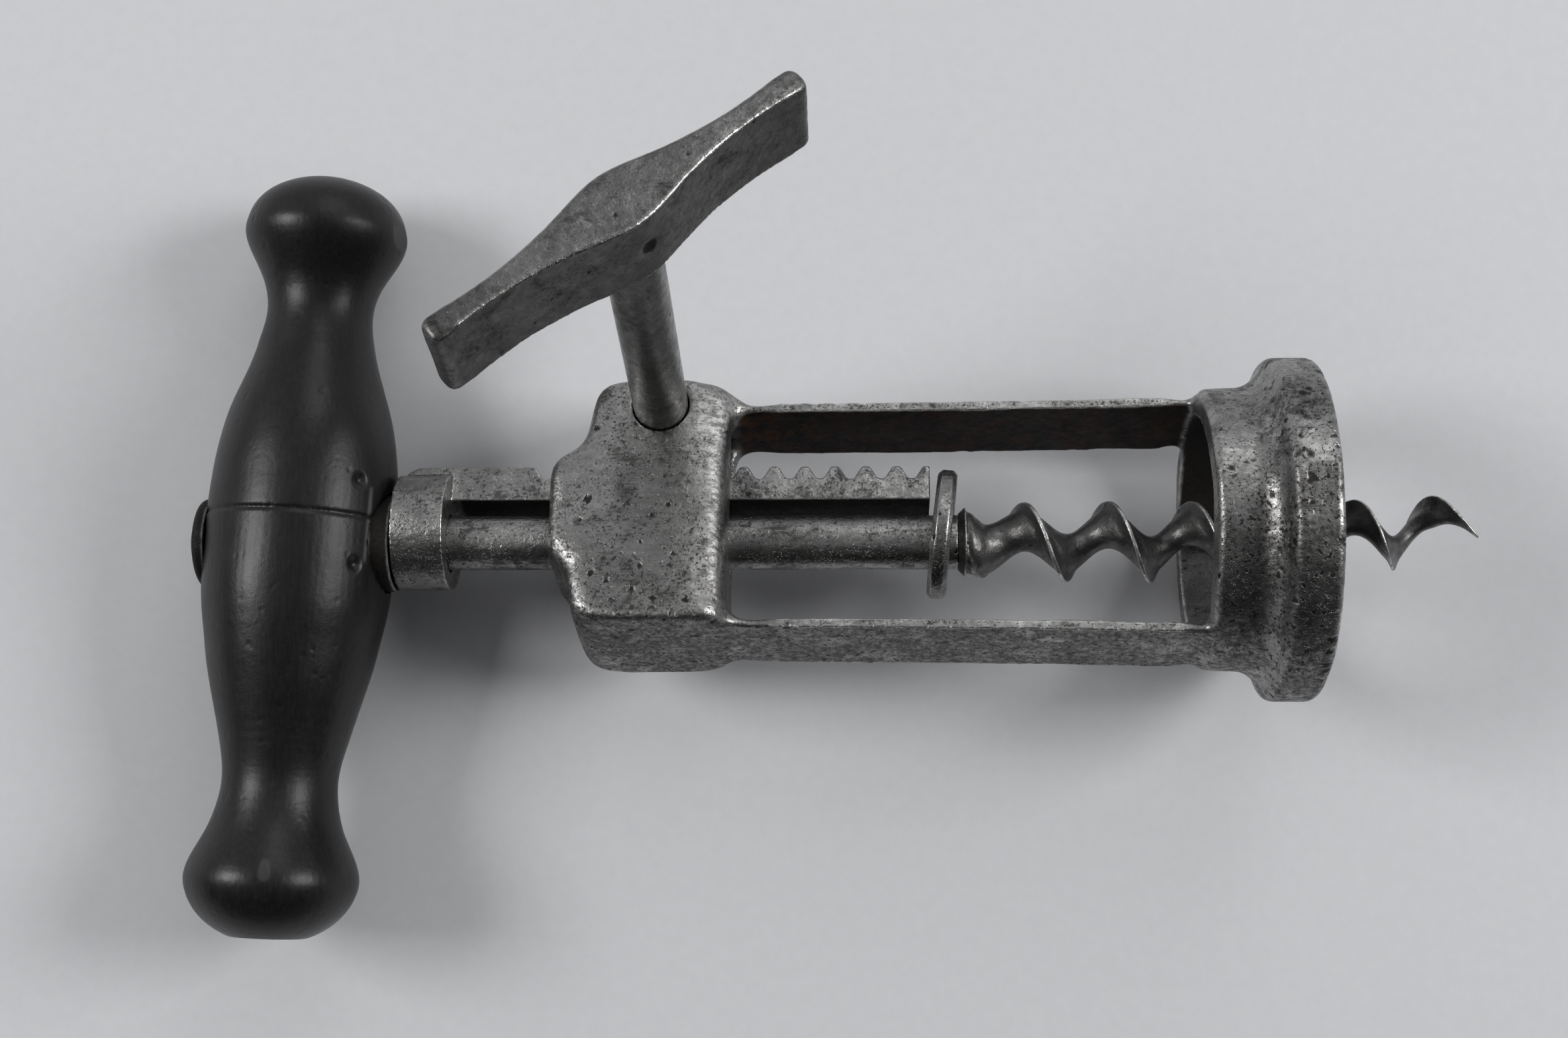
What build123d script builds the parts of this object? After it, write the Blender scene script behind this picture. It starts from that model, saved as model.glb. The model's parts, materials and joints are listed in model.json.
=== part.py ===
from build123d import *
import math
import os

# A rack corkscrew: an open forged frame with a bell mouth, a toothed rack that carries a
# free-turning screw with a wooden cross handle, and a side key whose pinion winds the rack.
# Every piece is modelled upright: the bell's mouth is at height 0 on the frame's axis, the
# handle is up, the key stands out to the front (-Y) and its pinion is on the +X side. At the
# end the whole tool is laid down as it rests on a table: on its bell, the belly of the
# handle and one knob. Sizes are in millimetres, angles in degrees.

# Bell
MOUTH_R = 21.6            # outside of the flange round the mouth
FLANGE_H = 5.9
RIM_ROUND = 1.0
RING_R = 17.8             # outside of the ring above the flange
RING_TOP = 14.2           # floor of the window
BORE_R = 14.3             # way through the ring, smaller than a bottle's lip
MOUTH_BORE_R = 18.2       # mouth of the inner cone, which seats on the lip
CONE_TOP = 8.5

# Straps between bell and head
STRAP_W = 11.9
STRAP_T = 1.2
STRAP_PINION_SPAN = 15.2  # from the axis to the outside at the head, on both sides
STRAP_PLAIN_SPAN = 15.55
STRAP_SPREAD = 0.7        # how much further out they stand at the bell
STRAP_FLARE = 2.6         # hollow round where the straps widen into the head
STRAP_SEAT = 1.0          # depth of the root in bell and head
WINDOW_ROUND = 2.8        # corners of the window under the head

# Head
HEAD_FACE = 72.9          # its lower face, the top of the window; its other heights are from there
HEAD_T = 18.7             # front to back
HEAD_PINION_SIDE = 17.2   # from the axis to its two sides
HEAD_PLAIN_SIDE = 15.85
HEAD_H = 22.3             # up to the top of its nose
PINION_SHOULDER = 16.6    # heights of its shoulders
PLAIN_SHOULDER = 18.6
PINION_WAIST = 18.4       # and of the feet of the nose
PLAIN_WAIST = 19.6
HEAD_WAIST_HALF = 8.4
NOSE_HALF = 6.4
SHOULDER_ROUND = 3.0
WAIST_ROUND = 3.2
NOSE_ROUND = 2.0
HEAD_EDGE = 1.0
WINDOW_EDGE = 3.0         # the same, along the window
HEEL_RISE = 3.0           # the pinion side bends in from this far above the lower face
HEEL_DROP = 2.4           # and reaches the strap this far below it

# Screw axis and its shank
SCREW_X = -1.6            # the screw stands off the frame's axis, away from the pinion
SHANK_R = 3.45
SLIDE_GAP = 0.3           # between pieces that slide or turn past each other
FIT_GAP = 0.08            # round the key's arbor

# Rack
RACK_W = 6.0
RACK_BACK = 3.05          # from the axis to the plain back of the bar
RACK_CREST = 7.75         # from the axis to the crests of the teeth
RACK_FOOT = 47.6
RACK_L = 67.2
RACK_PITCH = 3.88
RACK_TEETH = 13
RACK_FIRST_GAP = 2.27     # middle of the lowest gap, above the foot
ADDENDUM = 0.72
DEDENDUM = 1.0
FLANK = 30.0              # pressure angle
BACKLASH = 0.26
CREST_ROUND = 0.7
ROOT_ROUND = 0.45
RACK_END_ROUND = 2.5
EYE_R = 7.35
EYE_X = -0.15
EYE_H = 6.6
EYE_PROUD = 0.3           # how far the eye stands above the end of the bar

# Pinion and key
PINION_TEETH = 10
PINION_RISE = 8.6         # its axis above the head's lower face
PIN_R = 1.0
KEY_R = 3.45
KEY_BACK_GAP = 0.2        # the arbor's end lies this deep in the back of the head
KEY_BAR_FOOT = 44.7       # from the frame's middle plane to the underside of the bar's ends
KEY_BAR_DEPTH = 11.2
KEY_BAR_RISE = 0.7        # hollow of the underside at its middle
KEY_BAR_HALF = 25.2
KEY_BAR_OFF = -0.5        # its middle stands off the arbor, along the bar
KEY_BAR_TURN = 40.1       # from the screw's point towards the pinion side
KEY_END_HALF = 2.05
KEY_NECK = 15.5
KEY_NECK_HALF = 1.45
KEY_SHOULDER = 7.5
KEY_SHOULDER_HALF = 2.5
KEY_MID_HALF = 3.95
KEY_END_ROUND = 1.2
KEY_EDGE = 0.5
TENON_R = 2.4
TENON_L = 7.0

# Stop washer
WASHER_R = 8.2
WASHER_T = 2.45
WASHER_DROP = 1.4         # its middle below the rack's foot
WASHER_OFFSET = 1.1       # its hole is off centre
WASHER_GAP = 0.5
WASHER_LEAN = 6.6
WASHER_CHAMFER = 0.55

# Worm. Each row of WORM_FORM is one station: turns below the uppermost free crest, radius of
# the edge, how far the back of the web reaches past the axis, half width of the web and half
# width of the land on the edge.
WORM_DROP = 2.1           # its shoulder below the washer's middle
WORM_SHOULDER_R = 4.4
WORM_BEVEL = 0.9
WORM_ROOT = 8.27          # from the shoulder to the uppermost free crest
WORM_CREST_TURN = -25.3
WORM_PITCH = 10.74
WORM_CLOSING = 0.1        # how the pitch closes towards the point
WORM_POINT_TURN = 4.9     # where the point starts to draw out
WORM_POINT_DRAW = 12.0
WORM_BEND_TURN = 2.0
WORM_BEND = 1.7
WORM_STEPS = 18           # stations to a turn
WORM_FORM = (
    (-0.68, 4.40, 4.10, 4.10, 0.65),
    (-0.45, 4.60, 2.20, 3.20, 0.65),
    (0.00, 5.05, 1.20, 2.60, 0.65),
    (1.50, 5.20, 0.70, 2.35, 0.65),
    (4.00, 4.70, -0.15, 1.90, 0.55),
    (5.00, 4.50, -0.30, 1.40, 0.45),
    (5.30, 3.40, -2.90, 0.25, 0.15),
)

# Handle, turned about its own axis; its long end is the one on the plain side
HANDLE_CLEAR = 0.4        # between the eye and the belly
HANDLE_TURN = 17.1        # the pinion-side end is turned this far to the front
HANDLE_SKEW = 2.9         # and dips this far towards the bell
BELLY_R = 12.45
SHORT_SWELL = 15.0        # half way from the belly to each neck
SHORT_SWELL_R = 10.7
SHORT_NECK = 30.3
SHORT_NECK_R = 7.05
SHORT_KNOB = 40.0
SHORT_KNOB_R = 10.4
SHORT_DOME = 8.0          # from the middle of the knob to its end
LONG_SWELL = 14.3
LONG_SWELL_R = 10.9
LONG_NECK = 30.2
LONG_NECK_R = 7.3
LONG_KNOB = 42.2
LONG_KNOB_R = 11.05
LONG_DOME = 8.2
LONG_FLAT = 0.9           # turned off the tip of the dome
GROOVE = 3.0              # turned line, off the middle
GROOVE_D = 0.3
SEAT_SINK = 2.5           # recess for the bolster, below the belly
SEAT_GAP = 0.2
BOLSTER_R = 6.2
TANG = 5.0
ROVE_R = 5.75
ROVE_T = 1.6
ROVE_DOME = 0.9
ROVE_SINK = 1.5
RIVET_R = 3.4
RIVET_H = 0.8

# Worked out from the above
NOSE_TOP = HEAD_FACE + HEAD_H
RACK_TOP = RACK_FOOT + RACK_L
EYE_TOP = RACK_TOP + EYE_PROUD
EYE_FOOT = EYE_TOP - EYE_H
PINION_Z = HEAD_FACE + PINION_RISE
WASHER_Z = RACK_FOOT - WASHER_DROP
WORM_SEAT = WASHER_Z - WORM_DROP
WORM_CREST = WORM_SEAT - WORM_ROOT
HANDLE_Z = EYE_TOP + HANDLE_CLEAR + BELLY_R
PITCH_LINE = RACK_CREST - ADDENDUM
PINION_R = PINION_TEETH * RACK_PITCH / (2 * math.pi)
PINION_X = PITCH_LINE + PINION_R
PINION_TIP_R = PINION_R + ADDENDUM
PINION_ROOT_R = PINION_R - DEDENDUM
BOLSTER_FOOT = EYE_TOP + SLIDE_GAP
SEAT_Z = HANDLE_Z - BELLY_R + SEAT_SINK
CROWN_Z = HANDLE_Z + BELLY_R - ROVE_SINK


def upright_cylinder(radius, low, high, x=0.0):
    """A cylinder along the tool's axis between two heights."""
    return Pos(x, 0, low) * Cylinder(radius, high - low, align=(Align.CENTER, Align.CENTER, Align.MIN))


def front_plate(outline, thickness):
    """An outline drawn in the frame's plane, given a thickness front to back."""
    return extrude(Plane.XZ * outline, amount=thickness / 2, both=True)


def corners_at(face, x, y):
    """The corners of a drawn face that lie at one place."""
    return [v for v in face.vertices() if math.hypot(v.X - x, v.Y - y) < 1e-6]


def bell():
    cove = MOUTH_R - RING_R
    cove_top = FLANGE_H + cove
    low = cove * (1 - math.sqrt(0.5))
    outline = Curve() + [
        Line((MOUTH_BORE_R, 0), (MOUTH_R, 0)),
        Line((MOUTH_R, 0), (MOUTH_R, FLANGE_H)),
        ThreePointArc((MOUTH_R, FLANGE_H), (RING_R + low, FLANGE_H + low), (RING_R, cove_top)),
        Polyline((RING_R, cove_top), (RING_R, RING_TOP), (BORE_R, RING_TOP), (BORE_R, CONE_TOP),
                 (MOUTH_BORE_R, 0)),
    ]
    face = make_face(outline)
    rims = corners_at(face, MOUTH_R, 0) + corners_at(face, MOUTH_R, FLANGE_H)
    face = fillet(rims + corners_at(face, RING_R, RING_TOP), RIM_ROUND)
    return revolve(Plane.XZ * face, Axis.Z)


def strap_side(span, side, top):
    """One face line of a strap, from its foot in the bell to a height: it sweeps outwards to the bell."""
    foot = RING_TOP - STRAP_SEAT
    middle = (foot + top) / 2
    return ThreePointArc((side * (span + STRAP_SPREAD), foot), (side * (span + STRAP_SPREAD / 4), middle),
                         (side * span, top))


def straps():
    cap = HEAD_FACE + STRAP_SEAT
    right = strap_side(STRAP_PINION_SPAN, 1, cap)
    left = strap_side(STRAP_PLAIN_SPAN, -1, cap)
    inner_right = strap_side(STRAP_PINION_SPAN - STRAP_T, 1, HEAD_FACE)
    inner_left = strap_side(STRAP_PLAIN_SPAN - STRAP_T, -1, HEAD_FACE)
    outside = Curve() + [right, Line(right @ 1, left @ 1), left, Line(left @ 0, right @ 0)]
    window = Curve() + [inner_right, Line(inner_right @ 1, inner_left @ 1), inner_left,
                        Line(inner_left @ 0, inner_right @ 0)]
    gap = make_face(window)
    top = [corner for end in (inner_right @ 1, inner_left @ 1) for corner in corners_at(gap, end.X, end.Y)]
    return front_plate(make_face(outside) - fillet(top, WINDOW_ROUND), STRAP_W)


def heel(high):
    """How far out the pinion side of head and strap root is at a height: a bend that ends on the strap."""
    top = HEAD_FACE + HEEL_RISE
    depth = HEAD_PINION_SIDE - STRAP_PINION_SPAN
    bend = ((HEEL_RISE + HEEL_DROP) ** 2 + depth ** 2) / (2 * depth)
    return (HEAD_PINION_SIDE - bend + math.sqrt(bend ** 2 - (top - high) ** 2), high)


def flare_outline():
    """A strap's root seen from the side: hollow rounds that run out into the head's rounded edge."""
    half = STRAP_W / 2
    foot = HEAD_FACE - HEEL_DROP
    cap = HEAD_FACE + STRAP_SEAT
    edge_y = HEAD_T / 2 - WINDOW_EDGE
    edge_z = HEAD_FACE + WINDOW_EDGE
    reach = STRAP_FLARE + WINDOW_EDGE - FIT_GAP
    flare_y = half + STRAP_FLARE
    flare_z = edge_z - math.sqrt(reach ** 2 - (flare_y - edge_y) ** 2)
    share = STRAP_FLARE / reach
    wide = flare_y + (edge_y - flare_y) * share
    high = flare_z + (edge_z - flare_z) * share
    bow = (wide - half) / 2
    rise = (high - flare_z) / 2
    away = math.hypot(half + bow - flare_y, rise)
    middle = (flare_y + (half + bow - flare_y) * STRAP_FLARE / away, flare_z + rise * STRAP_FLARE / away)
    right = ThreePointArc((half, flare_z), middle, (wide, high))
    left = ThreePointArc((-wide, high), (-middle[0], middle[1]), (-half, flare_z))
    roof = Polyline((wide, high), (half, cap), (-half, cap), (-wide, high))
    floor = Polyline((-half, flare_z), (-half, foot), (half, foot), (half, flare_z))
    return make_face(Curve() + [right, roof, left, floor])


def strap_flares():
    """Webs that widen both straps where they enter the head; the pinion side's also thickens into a heel."""
    foot = HEAD_FACE - HEEL_DROP
    cap = HEAD_FACE + STRAP_SEAT
    inner = STRAP_PINION_SPAN - STRAP_T + FIT_GAP
    bend = ThreePointArc(heel(foot), heel((foot + cap) / 2), heel(cap))
    back = Polyline(heel(cap), (inner, cap), (inner, foot), heel(foot))
    pinion_side = front_plate(make_face(Curve() + [bend, back]), HEAD_T)
    corner = (Align.MIN, Align.CENTER, Align.MIN)
    plain_side = Pos(FIT_GAP - STRAP_PLAIN_SPAN, 0, foot) * Box(STRAP_T - 2 * FIT_GAP, HEAD_T, cap - foot, align=corner)
    side_view = extrude(Plane.YZ * flare_outline(), amount=2 * HEAD_T, both=True)
    return (pinion_side & side_view) + (plain_side & side_view)


def head():
    right = HEAD_PINION_SIDE
    left = -HEAD_PLAIN_SIDE
    bend_top = HEAD_FACE + HEEL_RISE
    shoulders = ((right, HEAD_FACE + PINION_SHOULDER), (left, HEAD_FACE + PLAIN_SHOULDER))
    waists = ((HEAD_WAIST_HALF, HEAD_FACE + PINION_WAIST), (-HEAD_WAIST_HALF, HEAD_FACE + PLAIN_WAIST))
    noses = ((NOSE_HALF, NOSE_TOP), (-NOSE_HALF, NOSE_TOP))
    bend = ThreePointArc(heel(HEAD_FACE), heel((HEAD_FACE + bend_top) / 2), heel(bend_top))
    climb = [heel(bend_top), shoulders[0], waists[0], noses[0]]
    fall = [noses[1], waists[1], shoulders[1], (left, HEAD_FACE), heel(HEAD_FACE)]
    face = make_face(Curve() + [bend, Polyline(*climb, *fall)])
    for places, radius in ((shoulders, SHOULDER_ROUND), (waists, WAIST_ROUND), (noses, NOSE_ROUND)):
        for place in places:
            face = fillet(corners_at(face, *place), radius)
    block = front_plate(face, HEAD_T)
    block = fillet(block.edges().filter_by(Axis.X).group_by(Axis.Z)[0], WINDOW_EDGE)
    front, back = block.faces().sort_by(Axis.Y)[0], block.faces().sort_by(Axis.Y)[-1]
    seams = block.edges().filter_by(Axis.X).filter_by_position(Axis.Z, HEAD_FACE, HEAD_FACE + 1.5 * WINDOW_EDGE)
    return fillet([edge for edge in front.edges() + back.edges() if edge not in seams], HEAD_EDGE)


def head_ways():
    """What is cut through the head: the shank's bore, the slot for rack and pinion, the arbor's hole."""
    clear = HEAD_T
    slot_w = RACK_W + 2 * SLIDE_GAP
    low = HEAD_FACE - WINDOW_ROUND
    high = NOSE_TOP + clear
    under_strap = STRAP_PINION_SPAN - STRAP_T - SLIDE_GAP
    slot_foot = PINION_Z - PINION_TIP_R - SLIDE_GAP
    corner = (Align.MIN, Align.CENTER, Align.MIN)
    bore = upright_cylinder(SHANK_R + SLIDE_GAP, low, high, SCREW_X)
    channel = Pos(SCREW_X, 0, low) * Box(under_strap - SCREW_X, slot_w, high - low, align=corner)
    slot = Pos(SCREW_X, 0, slot_foot) * Box(HEAD_PINION_SIDE + clear, slot_w, high - slot_foot, align=corner)
    hole = Pos(PINION_X, 0, PINION_Z) * Rot(90, 0, 0) * Cylinder(KEY_R + FIT_GAP, HEAD_T + clear)
    return bore + channel + slot + hole


def frame():
    return bell() + straps() + strap_flares() + head() - head_ways()


def rack_outline():
    """The bar's side view: teeth as straight flanks with rounded crests and roots."""
    lean = math.tan(math.radians(FLANK))
    root = RACK_CREST - ADDENDUM - DEDENDUM
    half = RACK_PITCH / 4 + BACKLASH / 4
    at_crest = half + ADDENDUM * lean
    at_root = half - DEDENDUM * lean
    points = [(RACK_BACK, RACK_FOOT), (RACK_CREST, RACK_FOOT)]
    crests, roots = [], []
    for tooth in range(RACK_TEETH):
        middle = RACK_FOOT + RACK_FIRST_GAP + tooth * RACK_PITCH
        crests += [(RACK_CREST, middle - at_crest), (RACK_CREST, middle + at_crest)]
        roots += [(root, middle - at_root), (root, middle + at_root)]
        points += [crests[-2], roots[-2], roots[-1], crests[-1]]
    end = (RACK_CREST, RACK_TOP)
    face = make_face(Polyline(*points, end, (RACK_BACK, RACK_TOP), close=True))
    rounds = ((crests[1:], CREST_ROUND), (roots, ROOT_ROUND), ([end], RACK_END_ROUND))
    for places, radius in rounds:
        face = fillet([v for place in places for v in corners_at(face, *place)], radius)
    return face


def rack():
    eye = upright_cylinder(EYE_R, EYE_FOOT, EYE_TOP, EYE_X)
    hole = upright_cylinder(SHANK_R + SLIDE_GAP, EYE_FOOT - 1, EYE_TOP + 1, SCREW_X)
    return front_plate(rack_outline(), RACK_W) + eye - hole


def handle_place():
    return Pos(SCREW_X, 0, HANDLE_Z) * Rot(0, 0, -HANDLE_TURN)


def tang(low, high):
    bar = Box(TANG, TANG, high - low, align=(Align.CENTER, Align.CENTER, Align.MIN))
    return handle_place() * Pos(0, 0, low - HANDLE_Z) * bar


def spindle():
    shank = upright_cylinder(SHANK_R, WORM_SEAT, BOLSTER_FOOT, SCREW_X)
    bolster = upright_cylinder(BOLSTER_R, BOLSTER_FOOT, SEAT_Z, SCREW_X)
    rove_top = CROWN_Z + ROVE_T
    stem = tang(SEAT_Z, rove_top)
    rivet = upright_cylinder(RIVET_R, rove_top, rove_top + RIVET_H, SCREW_X)
    rivet = fillet(rivet.edges().group_by(Axis.Z)[-1], RIVET_H * 0.9)
    return shank + bolster + stem + rivet


def tang_rove():
    disc = upright_cylinder(ROVE_R, CROWN_Z, CROWN_Z + ROVE_T, SCREW_X)
    disc = fillet(disc.edges().group_by(Axis.Z)[-1], ROVE_DOME)
    return disc - tang(CROWN_Z - 1, CROWN_Z + ROVE_T + 1)


def handle_outline():
    """Half of the handle's turned form: swelling belly and necks, a dome on each knob."""
    ends = ((SHORT_KNOB, SHORT_KNOB_R), (-LONG_KNOB, LONG_KNOB_R))
    belly = Spline(ends[0], (SHORT_NECK, SHORT_NECK_R), (SHORT_SWELL, SHORT_SWELL_R), (0, BELLY_R),
                   (-LONG_SWELL, LONG_SWELL_R), (-LONG_NECK, LONG_NECK_R), ends[1],
                   tangents=((-1, 0), (-1, 0)), tangent_scalars=(1, 1))
    short = EllipticalCenterArc((SHORT_KNOB, 0), SHORT_DOME, SHORT_KNOB_R, 0, arc_size=90)
    long = EllipticalCenterArc((-LONG_KNOB, 0), LONG_DOME, LONG_KNOB_R, 90, arc_size=90)
    base = Line((-LONG_KNOB - LONG_DOME, 0), (SHORT_KNOB + SHORT_DOME, 0))
    return make_face(Curve() + [short, belly, long, base])


def handle():
    body = revolve(handle_outline(), Axis.X)
    tip = Pos(-LONG_KNOB - LONG_DOME + LONG_FLAT, 0, 0)
    body -= tip * Box(LONG_DOME, 3 * LONG_KNOB_R, 3 * LONG_KNOB_R, align=(Align.MAX, Align.CENTER, Align.CENTER))
    ring = Pos(GROOVE, 0, 0) * Rot(0, 90, 0) * Torus(BELLY_R, GROOVE_D)
    body = handle_place() * Rot(0, HANDLE_SKEW, 0) * (body - ring)
    seat = upright_cylinder(BOLSTER_R + SEAT_GAP, BOLSTER_FOOT - BELLY_R, SEAT_Z, SCREW_X)
    crown = upright_cylinder(ROVE_R + SEAT_GAP, CROWN_Z, CROWN_Z + BELLY_R, SCREW_X)
    return body - seat - crown - tang(SEAT_Z - 1, CROWN_Z + 1)


def stop_washer():
    disc = Cylinder(WASHER_R, WASHER_T)
    disc = chamfer(disc.edges(), WASHER_CHAMFER)
    disc -= Pos(-WASHER_OFFSET, 0, 0) * Cylinder(SHANK_R + WASHER_GAP, 2 * WASHER_T)
    return Pos(SCREW_X, 0, WASHER_Z) * Rot(0, WASHER_LEAN, 0) * Pos(WASHER_OFFSET, 0, 0) * disc


def worm_station(turn):
    """The worm's form at one place, between the two rows of WORM_FORM around it."""
    for above, below in zip(WORM_FORM, WORM_FORM[1:]):
        if turn <= below[0]:
            break
    share = (turn - above[0]) / (below[0] - above[0])
    return [a + share * (b - a) for a, b in zip(above, below)]


def worm_section(turn):
    """A thumb-shaped section: a land on the edge, straight sides and a round back."""
    _, edge_r, reach, half, land = worm_station(turn)
    middle = half - reach
    corner = (math.sqrt(edge_r ** 2 - land ** 2), land)
    away = math.hypot(corner[0] - middle, land)
    angle = math.atan2(land, corner[0] - middle) + math.acos(half / away)
    side = (middle + half * math.cos(angle), half * math.sin(angle))
    outline = Curve() + [
        ThreePointArc((corner[0], -land), (edge_r, 0), corner),
        Line(corner, side),
        ThreePointArc(side, (-reach, 0), (side[0], -side[1])),
        Line((side[0], -side[1]), (corner[0], -land)),
    ]
    drawn = max(0.0, turn - WORM_POINT_TURN)
    height = WORM_CREST - WORM_PITCH * turn + WORM_CLOSING * turn ** 2 - WORM_POINT_DRAW * drawn ** 2
    last = WORM_FORM[-1][0]
    bend = WORM_BEND * (max(0.0, turn - WORM_BEND_TURN) / (last - WORM_BEND_TURN)) ** 2
    place = Pos(SCREW_X + bend, 0, height) * Rot(0, 0, WORM_CREST_TURN - 360 * turn)
    return place * make_face(outline)


def worm():
    first, last = WORM_FORM[0][0], WORM_FORM[-1][0]
    count = round((last - first) * WORM_STEPS)
    sections = [worm_section(first + (last - first) * i / count) for i in range(count + 1)]
    top = sections[0].center().Z
    shoulder = upright_cylinder(WORM_SHOULDER_R, top, WORM_SEAT, SCREW_X)
    shoulder = chamfer(shoulder.edges().group_by(Axis.Z)[-1], min(WORM_BEVEL, 0.9 * (WORM_SEAT - top)))
    return shoulder + loft(sections)


def pinion_turn():
    """The pinion's angle that puts a tooth into the nearest gap of the rack."""
    first = RACK_FOOT + RACK_FIRST_GAP
    nearest = first + round((PINION_Z - first) / RACK_PITCH) * RACK_PITCH
    return (nearest - PINION_Z) / PINION_R


def pinion_outline():
    """Involute teeth; the first tooth points along +X of the drawing."""
    flank = math.radians(FLANK)
    base = PINION_R * math.cos(flank)
    half = math.pi / (2 * PINION_TEETH) - BACKLASH / 4 / PINION_R + math.tan(flank) - flank
    steps = 4
    low = max(base, PINION_ROOT_R)
    side = []
    for i in range(steps + 1):
        radius = low + (PINION_TIP_R - low) * i / steps
        roll = math.acos(min(1.0, base / radius))
        side.append((radius, half - (math.tan(roll) - roll)))
    side.insert(0, (PINION_ROOT_R, half))
    tooth = [(r, -a) for r, a in side] + [(r, a) for r, a in reversed(side)]
    points = []
    for index in range(PINION_TEETH):
        turn = 2 * math.pi * index / PINION_TEETH
        points += [(r * math.cos(a + turn), r * math.sin(a + turn)) for r, a in tooth]
    return make_face(Polyline(*points, close=True))


def pinion_place():
    """Drawing plane of the pinion: its +X points at the rack."""
    angle = pinion_turn()
    towards = (-math.cos(angle), 0, math.sin(angle))
    return Plane(origin=(PINION_X, 0, PINION_Z), x_dir=towards, z_dir=(0, -1, 0))


def pin_bar():
    """The cross pin lies in two opposite tooth gaps and ends below their roots."""
    gap_angle = 180 / PINION_TEETH
    length = 2 * (PINION_ROOT_R - FIT_GAP)
    return pinion_place() * Rot(0, 0, gap_angle) * Rot(0, 90, 0) * Cylinder(PIN_R, length)


def pinion():
    gear = extrude(pinion_place() * pinion_outline(), amount=RACK_W / 2, both=True)
    bore = pinion_place() * Cylinder(KEY_R, 2 * RACK_W)
    return gear - bore - pin_bar()


def key_place():
    """Plane of the key bar's underside: +X along the bar, +Z away from the frame."""
    turn = math.radians(KEY_BAR_TURN)
    along = (math.sin(turn), 0, -math.cos(turn))
    return Plane(origin=(PINION_X, -KEY_BAR_FOOT, PINION_Z), x_dir=along, z_dir=(0, -1, 0))


def key_shaft():
    back = HEAD_T / 2 - KEY_BACK_GAP
    length = KEY_BAR_FOOT + KEY_BAR_RISE + back
    low = (Align.CENTER, Align.CENTER, Align.MIN)
    arbor = Pos(0, 0, KEY_BAR_RISE - length) * Cylinder(KEY_R, length, align=low)
    tenon = Pos(0, 0, KEY_BAR_RISE) * Cylinder(TENON_R, TENON_L, align=low)
    return key_place() * (arbor + tenon) - pin_bar()


def key_bar():
    half = ((-KEY_BAR_HALF, KEY_END_HALF), (-KEY_NECK, KEY_NECK_HALF), (-KEY_SHOULDER, KEY_SHOULDER_HALF),
            (0, KEY_MID_HALF), (KEY_SHOULDER, KEY_SHOULDER_HALF), (KEY_NECK, KEY_NECK_HALF),
            (KEY_BAR_HALF, KEY_END_HALF))
    plan = Curve() + [
        Spline(*half),
        Line(half[-1], (KEY_BAR_HALF, -KEY_END_HALF)),
        Spline(*[(x, -y) for x, y in half]),
        Line((-KEY_BAR_HALF, -KEY_END_HALF), half[0]),
    ]
    face = make_face(plan)
    face = fillet(face.vertices(), KEY_END_ROUND)
    bar = extrude(face, amount=KEY_BAR_DEPTH)
    chord = 2 * KEY_BAR_HALF
    radius = KEY_BAR_RISE / 2 + chord ** 2 / (8 * KEY_BAR_RISE)
    hollow = Pos(0, 0, KEY_BAR_RISE - radius) * Rot(90, 0, 0) * Cylinder(radius, chord)
    bar -= hollow
    bar = fillet(bar.edges().group_by(Axis.Z)[-1], KEY_EDGE)
    socket = Pos(0, 0, KEY_BAR_RISE) * Cylinder(TENON_R, 2 * TENON_L)
    return key_place() * (Pos(KEY_BAR_OFF, 0, 0) * bar - socket)


def resting_plane():
    """The table under the laid-down tool: it touches the flange, the handle's belly and its short knob."""
    turn, skew = math.radians(HANDLE_TURN), math.radians(HANDLE_SKEW)
    axis = Vector(math.cos(skew) * math.cos(turn), -math.cos(skew) * math.sin(turn), -math.sin(skew))
    dip = math.atan((BELLY_R - SHORT_KNOB_R) / SHORT_KNOB)
    reach = Vector(SCREW_X, 0, HANDLE_Z - FLANGE_H + RIM_ROUND)
    across = axis.cross(Vector(0, 0, 1)).normalized()
    rise = axis.cross(across).normalized() * -1
    tilt = 0.0
    normal = across
    for _ in range(20):
        normal = axis * -math.sin(dip) + (across * math.cos(tilt) + rise * math.sin(tilt)) * math.cos(dip)
        flange_low = MOUTH_R * math.sqrt(1 - normal.Z ** 2)
        error = reach.dot(normal) + flange_low - BELLY_R * math.cos(dip)
        tilt -= error / (reach.dot(rise) * math.cos(dip))
    ahead = Vector(0, 0, -1)
    ahead = (ahead - normal * ahead.dot(normal)).normalized()
    return Plane(origin=(0, 0, 0), x_dir=ahead, z_dir=normal)


PIECES = {
    "frame": frame(),
    "rack": rack(),
    "spindle": spindle(),
    "worm": worm(),
    "stop_washer": stop_washer(),
    "handle": handle(),
    "tang_rove": tang_rove(),
    "pinion": pinion(),
    "pinion_pin": pin_bar(),
    "key_shaft": key_shaft(),
    "key_bar": key_bar(),
}

TABLE = resting_plane()
LAID = {name: TABLE.to_local_coords(piece) for name, piece in PIECES.items()}
BOX = Compound(list(LAID.values())).bounding_box()
ORIGIN = Pos(-BOX.center().X, -BOX.center().Y, -BOX.min.Z)

os.makedirs("parts", exist_ok=True)
for name, piece in LAID.items():
    export_step(ORIGIN * piece, f"parts/{name}.step")
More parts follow.
